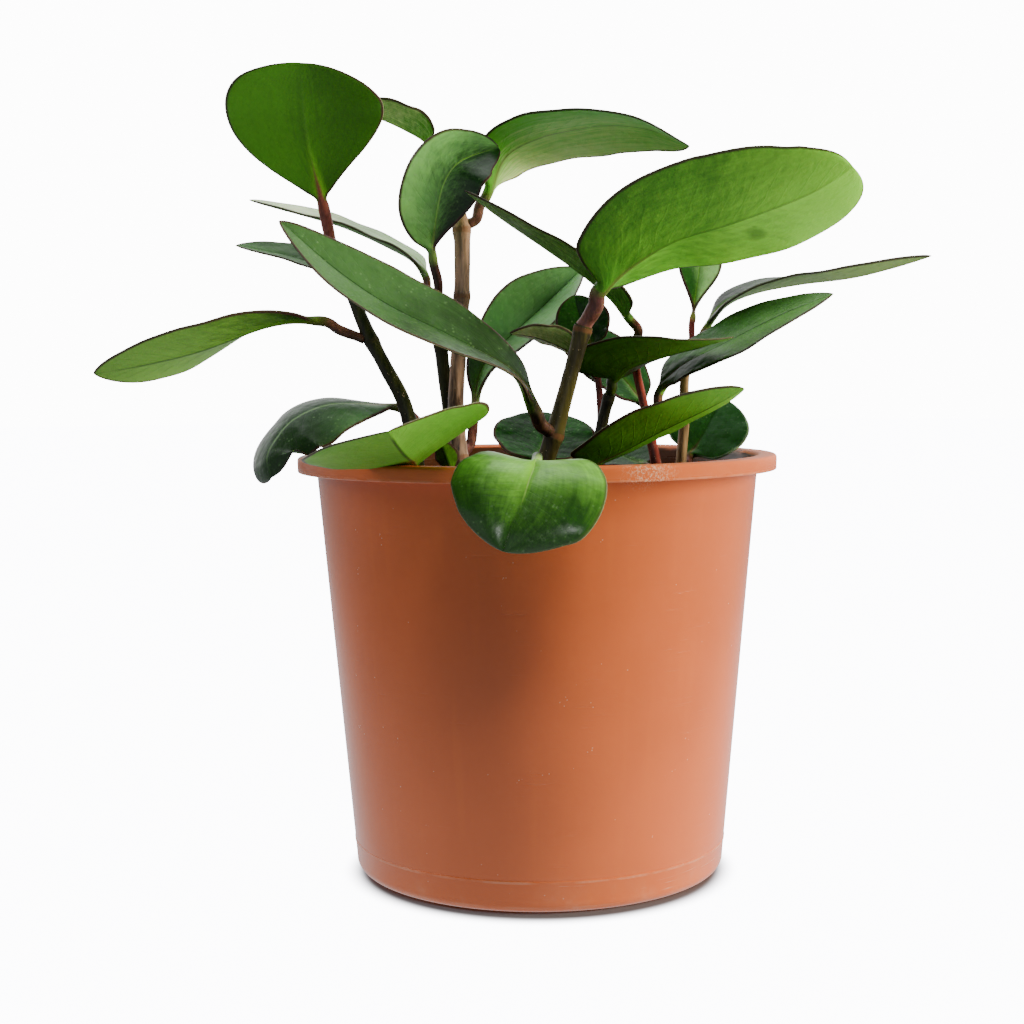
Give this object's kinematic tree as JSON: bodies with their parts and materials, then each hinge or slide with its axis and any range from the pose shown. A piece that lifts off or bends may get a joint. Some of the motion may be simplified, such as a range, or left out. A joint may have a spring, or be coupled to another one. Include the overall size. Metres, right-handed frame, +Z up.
{
  "type": "potted peperomia",
  "caption": "Bushy peperomia with waxy oval leaves on short fleshy stems, growing in soil in a tapered terracotta-coloured plastic pot.",
  "frame": {"origin": "middle of the pot's flat underside, on the surface it stands on", "axes": "+Z up along the pot's axis; +X towards the side of the longest right-hand leaves; -Y towards the front, where the heart-shaped leaf hangs over the rim"},
  "size_m": [0.2241, 0.1509, 0.2143],
  "materials": {
    "terracotta_plastic": "satin moulded plastic, fine scuffs",
    "potting_soil": "dark crumbly potting mix",
    "stem_skin": "smooth olive-brown fleshy stem with ringed nodes",
    "leaf_skin": "waxy thick leaf, dark green above and light green beneath, thin purple-brown margin"
  },
  "bodies": {
    "root": {"pot": "terracotta_plastic", "soil": "potting_soil", "stem_left": "stem_skin", "stem_front": "stem_skin", "stem_tall": "stem_skin", "stem_second": "stem_skin", "stem_red": "stem_skin", "stem_dark": "stem_skin", "stem_sprout": "stem_skin", "stem_tan": "stem_skin", "leaf_fan": "leaf_skin", "leaf_left_long": "leaf_skin", "leaf_front_long": "leaf_skin", "leaf_big_right": "leaf_skin", "leaf_top_right": "leaf_skin", "leaf_upright": "leaf_skin", "leaf_left_upper": "leaf_skin", "leaf_left_behind": "leaf_skin", "leaf_top_small": "leaf_skin", "leaf_centre_back": "leaf_skin", "leaf_middle_thin": "leaf_skin", "leaf_flat_middle": "leaf_skin", "leaf_right_low": "leaf_skin", "leaf_right": "leaf_skin", "leaf_pale_small": "leaf_skin", "leaf_small_round": "leaf_skin", "leaf_behind_long": "leaf_skin", "leaf_low_behind": "leaf_skin", "leaf_rim_right": "leaf_skin", "leaf_small_upright": "leaf_skin", "leaf_far_right": "leaf_skin", "leaf_heart": "leaf_skin", "leaf_over_rim": "leaf_skin", "leaf_left_drooping": "leaf_skin", "leaf_round_back": "leaf_skin", "leaf_bud_low": "leaf_skin"}
  },
  "joints": []
}
